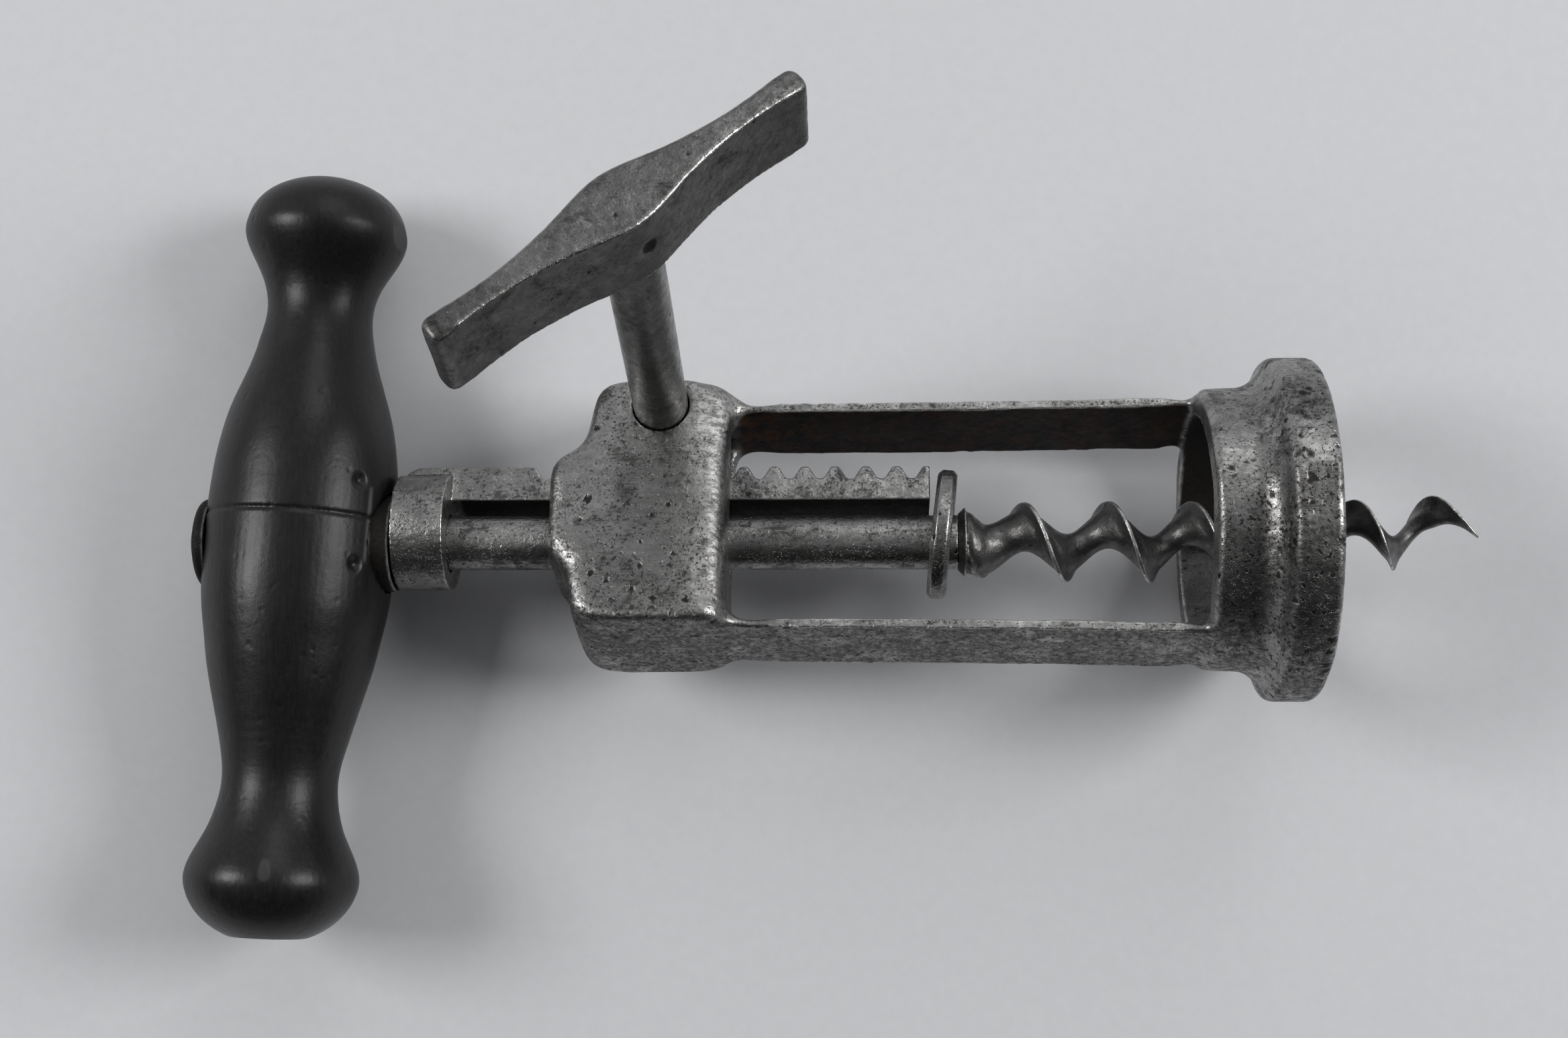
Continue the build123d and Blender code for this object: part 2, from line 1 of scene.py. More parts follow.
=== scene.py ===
import bpy
import json
import math
from collections import namedtuple
import numpy as np
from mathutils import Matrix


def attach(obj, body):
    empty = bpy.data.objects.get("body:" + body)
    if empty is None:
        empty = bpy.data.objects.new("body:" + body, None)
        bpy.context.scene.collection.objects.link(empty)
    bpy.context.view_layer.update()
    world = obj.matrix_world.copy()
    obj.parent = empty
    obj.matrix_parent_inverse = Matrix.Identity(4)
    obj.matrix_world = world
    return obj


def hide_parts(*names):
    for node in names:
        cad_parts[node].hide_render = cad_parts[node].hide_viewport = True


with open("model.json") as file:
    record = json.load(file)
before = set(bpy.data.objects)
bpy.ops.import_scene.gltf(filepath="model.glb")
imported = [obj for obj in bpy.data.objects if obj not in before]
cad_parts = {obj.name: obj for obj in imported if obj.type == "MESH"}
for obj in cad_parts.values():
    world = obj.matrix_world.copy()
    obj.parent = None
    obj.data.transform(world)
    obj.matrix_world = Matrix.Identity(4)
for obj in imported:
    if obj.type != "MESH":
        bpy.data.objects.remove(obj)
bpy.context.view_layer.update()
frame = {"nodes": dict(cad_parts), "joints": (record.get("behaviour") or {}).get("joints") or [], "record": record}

MM = 0.001
BOTH = (-1, 1)

# Camera, solved from the photograph
CAMERA_AT = (-0.015845, -0.019843, 0.283638)
CAMERA_TURN = (4.9923, -2.2638, 0.0368)
CAMERA_LENS = 48.38
CAMERA_SENSOR = 36.0
CAMERA_NEAR = 0.01

# The room's strength, from the picture's foot to beyond its top edge
ROOM_DIM = 0.03
ROOM_BRIGHT = 0.55
ROOM_SPAN = (-0.5, 1.0)
ROOM_TINT = (0.99, 1.0, 1.025, 1.0)
# Soft panels: place and side in metres, power in watts
LAMPS = (("left", (-0.62, 0.12, 0.52), 0.30, 3.3),
         ("right", (0.60, 0.12, 0.52), 0.30, 3.5),
         ("top", (0.16, 0.70, 0.62), 0.40, 0.85))
TABLE_HALF = 8.0
TABLE_TONES = ((0.59, 0.595, 0.61), (0.61, 0.615, 0.63))

BEHAVIOUR = frame["record"]["behaviour"]
BODY_OF = {node: body for body, nodes in BEHAVIOUR["bodies"].items() for node in nodes}

# The tool's own directions, from its joints: up the screw to the handle, through the head to its
# back, and to the pinion side. Places on the tool are millimetres along SIDE, BACK and UP from
# the middle of the bell's mouth.
JOINT_AXIS = {joint["name"]: np.array(joint["axis"]) for joint in frame["joints"]}
UP = JOINT_AXIS["rack_slide"]
BACK = JOINT_AXIS["key_turn"]
SIDE = np.cross(BACK, UP)
AXES = np.column_stack((SIDE, BACK, UP))
MOUTH = np.array((60.592, 1.932, 22.078))

# Heights up the tool and half widths across it, which the wear is placed by
FLANGE_TOP = 6.2
RING_TOP = 14.2
HEAD_FACE = 72.9          # the head's lower face, at the top of the window
SLOT_TOP = 94.0
EYE_FOOT = 108.0
# Heights along the spindle over which its bolster is darkened as painted shade in the handle's recess
BOLSTER_SHADE = (114.6, 115.2)
HEAD_HALF = 9.35
STRAP_OUT = 15.4
STRAP_HALF = 5.95
SLOT_HALF = 3.5
BROW_HALF = 15.0
COVE_OUT = 16.0

# Where use rounded the frame: spots with their reach, how strongly, and in how many rounds
STRAP_ROOTS = [((side * STRAP_OUT, depth * (STRAP_HALF + 1.2), HEAD_FACE), 7.0)
               for side in BOTH for depth in BOTH]
STRAP_ROOTS += [((-STRAP_OUT, 0, HEAD_FACE), 7.0), ((STRAP_OUT + 1, 0, HEAD_FACE), 6.0)]
STRAP_SEATS = [((side * STRAP_OUT, depth * STRAP_HALF, RING_TOP), 4.0)
               for side in BOTH for depth in BOTH]
HIPS = [((side * (STRAP_OUT + 1.5), depth, RING_TOP - 0.5), 5.0)
        for side in BOTH for depth in (-4, 0, 4)]
FLANK_BENDS = ((-8.4, 92.0, 7.5), (-13.5, 91.0, 6.0), (-2.0, 94.8, 6.0), (8.4, 91.5, 7.0))
FLANKS = [((side, depth * HEAD_HALF, height), reach)
          for depth in BOTH for side, height, reach in FLANK_BENDS]
ROUNDED = ((STRAP_ROOTS, 1.5, 70), (STRAP_SEATS, 1.0, 24), (HIPS, 1.0, 80), (FLANKS, 1.5, 130))
BROW_ROUNDS = 170
RIM_ROUNDS = 110
COVE_ROUNDS = 24

# Marks on the frame, with their reach: red rust inside a strap, dark patches on the ring with their
# depth, a scraped corner and a painted highlight over partly rubbed metal along the brow's crest
RUST_SPOT = ((14.0, -1.4, 69.3), 9.0)
RING_DARK_PATCHES = (((-9.0, -15.3, 9.0), 7.5, 1.4), ((-7.0, -16.3, 10.8), 3.0, 1.0))
SCRAPED_SPOT = ((11.5, -8.5, HEAD_FACE + 0.8), 5.5)
BROW_CREST_HIGHLIGHT = ((11.0, -9.2, HEAD_FACE + 1.8), (-11.5, -8.9, HEAD_FACE + 1.2), 1.5)

KEY_TURN = next(joint for joint in BEHAVIOUR["joints"] if joint["name"] == "key_turn")
KEY_HOLE = ((np.array(KEY_TURN["pos_m"]) / MM - MOUTH) @ AXES)[[0, 2]]
KEY_BORE = 3.6            # radius that the key's bearing keeps clear of waves and pits
KEY_DENT = ((10.5, -50.15, 78.8), 2.1, 0.6)
KEY_END = (3.4, 1.2)      # from where to where the ends of the key's bar are rounded over
KEY_END_ROUNDS = 45

SCREW_X = -1.6
HANDLE_AT = np.array((SCREW_X, 0.0, 127.95))
HANDLE_TURN = math.radians(17.1)
HANDLE_SKEW = math.radians(2.9)
HANDLE_AXIS = np.array((math.cos(HANDLE_TURN), -math.sin(HANDLE_TURN), -math.tan(HANDLE_SKEW)))
HANDLE_AXIS /= np.linalg.norm(HANDLE_AXIS)
# What the wood's radius is multiplied by, along the handle from the long knob to the short one
HANDLE_TRIM = ((-46.0, 0.97), (-42.7, 0.976), (-35.9, 0.885), (-24.8, 1.07), (-11.5, 0.962),
               (7.0, 0.962), (25.5, 1.05), (34.0, 0.885), (41.2, 1.0), (46.5, 1.05))
TRIM_STEP = 0.5
RECESS_HALF = 12.0
# Nicks at the recess ends: small dents, darkened inside as painted shadow of the recess corners
RECESS_SHADOW_NICKS = ((2.8, -9.6, 118.3), (-7.4, -6.6, 118.6))
RECESS_CHIP = ((2.3, -7.9, 117.15), (-6.6, -5.6, 117.7), 1.3)
KNOB_FADED = ((-42.2, 1.4, 128.1), (-44.4, 2.1, 128.1), 1.2)
# The flat that years of lying down wore on the short knob, on its side towards the bell
WORN_WAY = np.array((0.0, -0.12, -1.0))
WORN_WAY -= (WORN_WAY @ HANDLE_AXIS) * HANDLE_AXIS
WORN_WAY /= np.linalg.norm(WORN_WAY)
WORN_FLAT = 9.95
WORN_FROM = 36.0

# How each steel piece is worn: cells of its mesh in millimetres, rounds of easing, height of its
# waves in millimetres, number of pits, the base of its dirt mark, to which painted shade in creases is added, and
# how bright its edges are
Wear = namedtuple("Wear", "node voxel ease swell pits grime bright")
FORGED_PIECES = (Wear("rack", 0.18, 2, 0.03, 50, 0.22, 0.3),
                 Wear("spindle", 0.2, 2, 0.03, 60, 0.22, 1.0),
                 Wear("stop_washer", 0.15, 2, 0.04, 20, 0.2, 1.0),
                 Wear("tang_rove", 0.16, 2, 0.0, 0, 0.3, 1.0))
DARK_PIECES = (Wear("worm", 0.13, 3, 0.02, 30, 0.0, 1.0),
               Wear("key_bar", 0.18, 3, 0.07, 60, 0.12, 1.0),
               Wear("key_shaft", 0.2, 2, 0.0, 15, 0.0, 1.0),
               Wear("pinion", 0.18, 2, 0.0, 0, 0.5, 1.0),
               Wear("pinion_pin", 0.12, 2, 0.0, 0, 0.3, 1.0))
FORGED_SEED = 40
DARK_SEED = 70
SEED_STEP = 5
SOOT_ON = {"tang_rove": 0.9, "pinion": 0.9, "pinion_pin": 0.9, "worm": 0.35}

# Tones of the steels and the wood
FORGED_TONE = (0.456, 0.4512, 0.4416)
DARK_TONE = (0.28, 0.2768, 0.272)
GRAIN_TONE = (0.020, 0.019, 0.018)
STAIN_TONE = (0.018, 0.0165, 0.0155)
# The sooty colour is also painted shade inside the frame, under the rack, on the bolster and on the key's sides
SOOT_AND_SHADE_TONE = (0.009, 0.0078, 0.0070)
RUST_TONE = (0.060, 0.022, 0.009)
# Rubbed bright metal on edges, also used as painted highlight on the head's window edge, nose and brow
BARE_AND_HIGHLIGHT_TONE = (0.70, 0.692, 0.675)
WOOD_TONES = ((0.0055, 0.0055, 0.0058), (0.0110, 0.0108, 0.0109))
WOOD_RUBBED = (0.017, 0.0167, 0.0167)
WOOD_HOLLOW = (0.005, 0.005, 0.005)
WOOD_CHIPPED = (0.20, 0.195, 0.19)
# Brushing: how the streaks' grain is scaled along the part's x, y and z
FORGED_BRUSH = (0.22, 1.5, 1.5)
DARK_BRUSH = (0.6, 0.6, 0.6)
WOOD_GRAIN = (2.6, 0.22, 2.6)

EDGE_REACH = 0.6          # square millimetres that an edge's wear spreads over
SOFTEN_STEP = 0.6
WAVES = 9


def smooth(value, low, high):
    """0 below one value, 1 above the other, and an easy curve between them."""
    t = np.clip((value - low) / (high - low), 0.0, 1.0)
    return t * t * (3 - 2 * t)


class Skin:
    """A fine mesh that stands for one node, with its points in the tool's own millimetres."""

    def __init__(self, node, voxel, ease):
        self.node = node
        self.voxel = voxel
        source = frame["nodes"][node]
        piece = bpy.data.objects.new(node + "_worn", source.data.copy())
        bpy.context.scene.collection.objects.link(piece)
        cells = piece.modifiers.new("cells", "REMESH")
        cells.mode = "VOXEL"
        cells.voxel_size = voxel * MM
        wrap = piece.modifiers.new("wrap", "SHRINKWRAP")
        wrap.target = source
        relax = piece.modifiers.new("relax", "SMOOTH")
        relax.factor = 0.5
        relax.iterations = ease
        shape = piece.evaluated_get(bpy.context.evaluated_depsgraph_get())
        self.mesh = bpy.data.meshes.new_from_object(shape)
        piece.modifiers.clear()
        piece.data = self.mesh
        self.mesh.shade_smooth()
        self.mesh.materials.clear()
        self.piece = piece
        size = len(self.mesh.vertices)
        places = np.empty(3 * size, np.float32)
        self.mesh.vertices.foreach_get("co", places)
        self.points = (places.reshape(size, 3) / MM - MOUTH) @ AXES
        ends = np.empty(2 * len(self.mesh.edges), np.int32)
        self.mesh.edges.foreach_get("vertices", ends)
        self.ends = ends.reshape(-1, 2).T
        self.hollows = np.zeros(size)

    def store(self):
        places = ((self.points @ AXES.T + MOUTH) * MM).astype(np.float32)
        self.mesh.vertices.foreach_set("co", places.ravel())
        self.mesh.update()

    def normals(self):
        self.store()
        facing = np.empty(3 * len(self.points), np.float32)
        self.mesh.vertex_normals.foreach_get("vector", facing)
        return facing.reshape(-1, 3) @ AXES

    def near(self, spot, reach):
        """1 at a spot, falling to 0 at its reach."""
        return smooth(-np.linalg.norm(self.points - np.array(spot), axis=1), -reach, 0.0)

    def near_line(self, start, end, reach):
        """1 on a straight line between two spots, falling to 0 at its reach."""
        run = np.array(end) - np.array(start)
        share = np.clip((self.points - np.array(start)) @ run / (run @ run), 0.0, 1.0)
        foot = np.array(start) + share[:, None] * run
        return smooth(-np.linalg.norm(self.points - foot, axis=1), -reach, 0.0)

    def soften(self, weight, rounds):
        """Evens the surface out where the weight is not 0."""
        touched = (weight[self.ends[0]] > 0) | (weight[self.ends[1]] > 0)
        patch, ends = np.unique(self.ends[:, touched], return_inverse=True)
        a, b = ends.reshape(2, -1)
        size = len(patch)
        count = np.bincount(a, minlength=size) + np.bincount(b, minlength=size)
        local = self.points[patch]
        share = SOFTEN_STEP * weight[patch]
        for _ in range(rounds):
            for k in range(3):
                line = local[:, k]
                mean = (np.bincount(a, line[b], size) + np.bincount(b, line[a], size)) / count
                local[:, k] += share * (mean - line)
        self.points[patch] = local

    def stands_out(self):
        """How far each point stands out of its evened surroundings: edges above 0, creases below."""
        kept = self.points.copy()
        facing = self.normals()
        self.soften(np.ones(len(kept)), round(EDGE_REACH / self.voxel ** 2))
        rise = ((kept - self.points) * facing).sum(axis=1)
        self.points = kept
        return rise

    def swell(self, height, length, seed):
        """Slow waves over the surface, as a hammer and years of use leave them."""
        draw = np.random.default_rng(seed)
        waves = np.zeros(len(self.points))
        for _ in range(WAVES):
            heading = draw.normal(size=3)
            heading *= 2 * math.pi / (length * draw.uniform(0.6, 1.6) * np.linalg.norm(heading))
            waves += np.sin(self.points @ heading + draw.uniform(0, 2 * math.pi))
        self.points += (height / 6 * waves)[:, None] * self.normals()

    def pit(self, count, small, large, deep, seed, where=None):
        """Uneven little hollows, more of them where the weight is larger."""
        draw = np.random.default_rng(seed)
        chance = np.ones(len(self.points)) if where is None else where
        picks = draw.choice(len(self.points), count, p=chance / chance.sum())
        order = np.argsort(self.points[:, 2])
        heights = self.points[order, 2]
        sink = np.zeros(len(self.points))
        for centre in self.points[picks]:
            radius = small + (large - small) * draw.random() ** 3
            depth = deep * (0.4 + 0.6 * draw.random()) * radius / large
            low, high = np.searchsorted(heights, (centre[2] - 1.5 * radius, centre[2] + 1.5 * radius))
            close = order[low:high]
            away = self.points[close] - centre
            wobble = 1 + 0.35 * np.sin(away @ (draw.normal(size=3) * 4 / radius))
            share = np.linalg.norm(away, axis=1) / (radius * wobble)
            inside = share < 1
            hit = close[inside]
            sink[hit] = np.maximum(sink[hit], depth * (1 - share[inside] ** 2))
        self.points -= sink[:, None] * self.normals()
        self.hollows = np.maximum(self.hollows, np.clip(sink / deep, 0, 1))

    def dent(self, spot, reach, deep):
        """One round dent, dark inside."""
        hollow = self.near(spot, reach)
        self.points -= (deep * hollow)[:, None] * self.normals()
        self.hollows = np.maximum(self.hollows, 0.7 * smooth(hollow, 0.2, 0.9))

    def mark(self, name, values):
        """Leaves one value per point for the material to read."""
        layer = self.mesh.attributes.new(name, "FLOAT", "POINT")
        layer.data.foreach_set("value", np.asarray(values, np.float32))

    def finish(self, material):
        self.store()
        self.mark("pit", self.hollows)
        self.mesh.materials.append(material)
        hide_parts(self.node)
        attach(self.piece, BODY_OF[self.node])


class Nodes:
    """A material's node tree, built by short calls, in millimetres of the part's frame."""

    def __init__(self, name):
        self.material = bpy.data.materials.new(name)
        self.material.use_nodes = True
        self.tree = self.material.node_tree
        self.shader = self.tree.nodes["Principled BSDF"]
        place = self.tree.nodes.new("ShaderNodeTexCoord")
        scale = self.tree.nodes.new("ShaderNodeMapping")
        scale.inputs["Scale"].default_value = (1 / MM, 1 / MM, 1 / MM)
        self.link(place.outputs["Object"], scale.inputs["Vector"])
        self.mm = scale.outputs["Vector"]

    def link(self, a, b):
        self.tree.links.new(a, b)

    def put(self, value, socket):
        """Sets a socket of the shader to a constant, or links it."""
        if hasattr(value, "links"):
            self.link(value, self.shader.inputs[socket])
        else:
            self.shader.inputs[socket].default_value = value

    def stretched(self, x, y, z):
        node = self.tree.nodes.new("ShaderNodeMapping")
        node.inputs["Scale"].default_value = (x, y, z)
        self.link(self.mm, node.inputs["Vector"])
        return node.outputs["Vector"]

    def noise(self, per_mm, detail=3.0, rough=0.55, at=None, twist=0.0):
        node = self.tree.nodes.new("ShaderNodeTexNoise")
        node.inputs["Scale"].default_value = per_mm
        node.inputs["Detail"].default_value = detail
        node.inputs["Roughness"].default_value = rough
        node.inputs["Distortion"].default_value = twist
        self.link(at or self.mm, node.inputs["Vector"])
        return node.outputs["Fac"]

    def mark(self, name):
        """What Skin.mark left on the points under this name."""
        node = self.tree.nodes.new("ShaderNodeAttribute")
        node.attribute_name = name
        return node.outputs["Fac"]

    def ramp(self, value, low, high, out_low=0.0, out_high=1.0):
        node = self.tree.nodes.new("ShaderNodeMapRange")
        node.interpolation_type = "SMOOTHSTEP"
        node.inputs["From Min"].default_value = low
        node.inputs["From Max"].default_value = high
        node.inputs["To Min"].default_value = out_low
        node.inputs["To Max"].default_value = out_high
        self.link(value, node.inputs["Value"])
        return node.outputs["Result"]

    def math(self, operation, a, b):
        node = self.tree.nodes.new("ShaderNodeMath")
        node.operation = operation
        for socket, value in zip(node.inputs, (a, b)):
            if isinstance(value, (int, float)):
                socket.default_value = value
            else:
                self.link(value, socket)
        return node.outputs["Value"]

    def times(self, a, b):
        return self.math("MULTIPLY", a, b)

    def larger(self, a, b):
        return self.math("MAXIMUM", a, b)

    def mix(self, factor, a, b):
        node = self.tree.nodes.new("ShaderNodeMix")
        node.data_type = "RGBA"
        self.link(factor, node.inputs["Factor"])
        for socket, value in zip((node.inputs["A"], node.inputs["B"]), (a, b)):
            if isinstance(value, tuple):
                socket.default_value = (*value, 1.0)
            else:
                self.link(value, socket)
        return node.outputs["Result"]

    def bump(self, height, distance_mm, strength=1.0, under=None):
        node = self.tree.nodes.new("ShaderNodeBump")
        node.inputs["Strength"].default_value = strength
        node.inputs["Distance"].default_value = distance_mm * MM
        self.link(height, node.inputs["Height"])
        if under is not None:
            self.link(under, node.inputs["Normal"])
        return node.outputs["Normal"]


def old_steel(name, clean, rough, along):
    """Old brushed steel: cloudy and streaked, with pits, stains, sooty dirt, rust and edges rubbed bright; the
    marks also carry painted shade and painted highlights.
    """
    n = Nodes(name)
    fine = n.noise(3.0, 5.0, 0.65)
    middle = n.noise(0.9, 5.0, 0.62)
    broad = n.noise(0.13, 3.0)
    streak = n.noise(1.0, 5.0, 0.65, n.stretched(*along))
    soot_and_shade = n.mark("soot_and_shade")
    # The metal itself, in clouds and streaks
    shade = n.times(n.ramp(fine, 0.36, 0.64, 0.84, 1.0), n.ramp(middle, 0.34, 0.66, 0.74, 1.0))
    shade = n.times(shade, n.ramp(streak, 0.32, 0.68, 0.76, 1.0))
    shade = n.times(shade, n.ramp(broad, 0.34, 0.66, 0.70, 1.0))
    tone = n.mix(shade, GRAIN_TONE, clean)
    # Stains in patches, dark specks in crowds and drawn-out scratches, reaching further where the dirt and
    # painted-shade mark is high
    patches = n.noise(0.22, 6.0, 0.7, twist=0.6)
    grime = n.mark("grime")
    reach = n.math("ADD", patches, n.times(grime, 0.16))
    stain = n.ramp(reach, 0.52, 0.70, 0.0, 0.80)
    stain = n.times(stain, n.ramp(n.noise(1.4, 5.0, 0.7), 0.36, 0.58, 0.25, 1.0))
    large = n.times(n.ramp(n.noise(1.5, 2.0), 0.60, 0.64), n.ramp(reach, 0.46, 0.58))
    small = n.times(n.ramp(n.noise(3.2, 2.0), 0.60, 0.64), n.ramp(reach, 0.40, 0.52))
    specks = n.times(n.larger(large, small), n.ramp(grime, -0.1, 0.35))
    pits = n.larger(specks, n.ramp(n.mark("pit"), 0.05, 0.5))
    drawn = n.noise(1.0, 2.0, 0.5, n.stretched(0.4 * along[0], 2.2 * along[1], 2.2 * along[2]))
    scratch = n.times(n.ramp(drawn, 0.58, 0.66, 0.0, 0.8), n.ramp(reach, 0.53, 0.63))
    dark = n.larger(n.larger(stain, pits), scratch)
    tone = n.mix(n.times(dark, 0.93), tone, STAIN_TONE)
    # Sooty dirt and painted shade, red with rust in places
    rust = n.times(n.mark("rust"), n.ramp(n.noise(0.4, 5.0, 0.7), 0.42, 0.62))
    soot_shade_and_rust = n.mix(rust, SOOT_AND_SHADE_TONE, RUST_TONE)
    tone = n.mix(n.ramp(soot_and_shade, 0.0, 0.9), tone, soot_shade_and_rust)
    # Edges rubbed bright, and the head's window edge, nose and brow crest painted bright as highlights over partly
    # rubbed metal
    worn = n.times(n.mark("ridge"), n.ramp(middle, 0.30, 0.60, 0.30, 1.0))
    rubbed = n.times(n.mark("bare_and_highlit"), n.ramp(streak, 0.40, 0.60, 0.1, 1.0))
    worn = n.times(n.larger(worn, rubbed), n.ramp(soot_and_shade, 0.0, 1.0, 1.0, 0.3))
    tone = n.mix(worn, tone, BARE_AND_HIGHLIGHT_TONE)
    n.put(tone, "Base Color")
    n.put(n.larger(worn, n.ramp(soot_and_shade, 0.2, 0.85, 1.0, 0.0)), "Metallic")
    n.put(0.15, "Specular IOR Level")
    gloss = n.math("ADD", n.ramp(middle, 0.3, 0.7, rough + 0.08, rough - 0.06), n.times(dark, 0.18))
    gloss = n.math("ADD", gloss, n.times(soot_and_shade, 0.2))
    gloss = n.math("SUBTRACT", gloss, n.times(worn, 0.10))
    n.put(n.math("ADD", gloss, n.times(rubbed, 0.25)), "Roughness")
    relief = n.bump(n.math("SUBTRACT", middle, n.times(pits, 0.5)), 0.13, 0.9)
    relief = n.bump(streak, 0.03, 0.5, relief)
    n.put(n.bump(fine, 0.03, 0.6, relief), "Normal")
    return n.material


def black_wood():
    """Turned dark wood under worn black polish: fine grain along the handle, small dents."""
    n = Nodes("black_wood")
    grain = n.noise(1.0, 4.0, 0.6, n.stretched(*WOOD_GRAIN))
    cloud = n.noise(0.09, 4.0)
    rubbed = n.ramp(n.noise(0.35, 5.0, 0.7), 0.55, 0.75)
    tone = n.mix(n.ramp(grain, 0.3, 0.75), *WOOD_TONES)
    tone = n.mix(n.times(rubbed, 0.6), tone, WOOD_RUBBED)
    tone = n.mix(n.ramp(n.mark("pit"), 0.1, 0.6), tone, WOOD_HOLLOW)
    tone = n.mix(n.mark("chip"), tone, WOOD_CHIPPED)
    n.put(tone, "Base Color")
    n.put(0.32, "Specular IOR Level")
    n.put(n.ramp(cloud, 0.3, 0.7, 0.31, 0.40), "Roughness")
    relief = n.bump(n.noise(1.1, 5.0, 0.65), 0.07, 0.5)
    n.put(n.bump(grain, 0.03, 0.3, relief), "Normal")
    return n.material


def rounded(skin):
    """Rounds the frame where use did: strap roots and seats, flanks, brow, the head's rim, the cove."""
    for spots, strength, rounds in ROUNDED:
        near = np.maximum.reduce([skin.near(*spot) for spot in spots])
        skin.soften(np.minimum(1.0, strength * near), rounds)
    x, y, z = skin.points.T
    brow = smooth(-np.hypot(np.abs(y) - HEAD_HALF, z - HEAD_FACE), -5.0, -2.0)
    skin.soften(brow * smooth(BROW_HALF - np.abs(x), 0.0, 3.0), BROW_ROUNDS)
    rim = smooth(np.abs(y), HEAD_HALF - 4.0, HEAD_HALF - 1.5) * smooth(z, HEAD_FACE, HEAD_FACE + 3)
    off_key = smooth(np.hypot(x - KEY_HOLE[0], z - KEY_HOLE[1]), 5.0, 7.0)
    skin.soften(rim * smooth(x, -10.5, -7.5) * off_key, RIM_ROUNDS)
    cove = smooth(2.2 - np.abs(z - FLANGE_TOP - 0.6), 0.0, 1.6)
    skin.soften(cove * smooth(np.hypot(x, y), COVE_OUT, COVE_OUT + 1), COVE_ROUNDS)


def cleared(skin):
    """Keeps the wall of the key's bearing off its shaft, whatever the waves and pits did to it."""
    spoke = skin.points[:, [0, 2]] - KEY_HOLE
    radius = np.linalg.norm(spoke, axis=1)
    wall = (skin.normals()[:, [0, 2]] * spoke).sum(axis=1) < -0.5 * radius
    tight = wall & (radius < KEY_BORE) & (radius > 0.5 * KEY_BORE)
    spoke[tight] *= (KEY_BORE / radius[tight])[:, None]
    skin.points[:, [0, 2]] = KEY_HOLE + spoke


def sooted_and_shaded(skin, facing, inward):
    """Marks the frame's dark insides: sooty dirt and rust with painted shade inside the straps, painted shade in
    the bell, strongest towards the pinion side, and painted shade in the slot.
    """
    x, y, z = skin.points.T
    # Inside the straps: sooty dirt, with painted shade where they face each other
    straps = smooth(inward, 0.35, 0.8) * smooth(STRAP_HALF + 0.5 - np.abs(y), 0.0, 0.6)
    straps = straps * smooth(z, RING_TOP, RING_TOP + 1) * smooth(HEAD_FACE + 1 - z, 0.0, 3.0)
    # Painted shade in the bell: full towards the pinion side, a third as strong towards the plain side
    bell = smooth(inward, 0.2, 0.7) * smooth(RING_TOP + 0.4 - z, 0.0, 0.8)
    bell = bell * (0.35 + 0.65 * smooth(x, 1, 6))
    # Painted shade inside the slot
    slot = smooth(SLOT_HALF - np.abs(y), 0.0, 0.3) * smooth(z, HEAD_FACE + 0.5, HEAD_FACE + 2)
    slot = slot * smooth(SLOT_TOP - z, 0.0, 2.0) * smooth(np.abs(facing[:, 1]), 0.0, 0.5)
    skin.mark("rust", straps * (0.35 + 0.65 * skin.near(*RUST_SPOT)))
    skin.mark("soot_and_shade", np.maximum.reduce([straps, bell, slot]))


def bared_and_highlit(skin, facing):
    """Marks the head's front where it is rubbed bright: its window edge, nose edge and brow crest get painted
    highlights over partly rubbed metal, and one corner is scraped.
    """
    x, y, z = skin.points.T
    on_head = smooth(z, HEAD_FACE - 3, HEAD_FACE + 1) * smooth(-facing[:, 1], 0.2, 0.5)
    # The window edge, the nose edge and the brow crest get painted highlights over partly rubbed metal
    window_edge = smooth(-facing[:, 2], 0.2, 0.55) * smooth(HEAD_FACE + 4 - z, 0.0, 1.5)
    nose_edge = smooth(facing[:, 2], 0.25, 0.6) * smooth(-x, -3.0, 2.0)
    crest = skin.near_line(*BROW_CREST_HIGHLIGHT)
    scraped = skin.near(*SCRAPED_SPOT)
    skin.mark("bare_and_highlit", on_head * np.maximum.reduce([0.2 * window_edge, crest, 0.7 * nose_edge, scraped]))


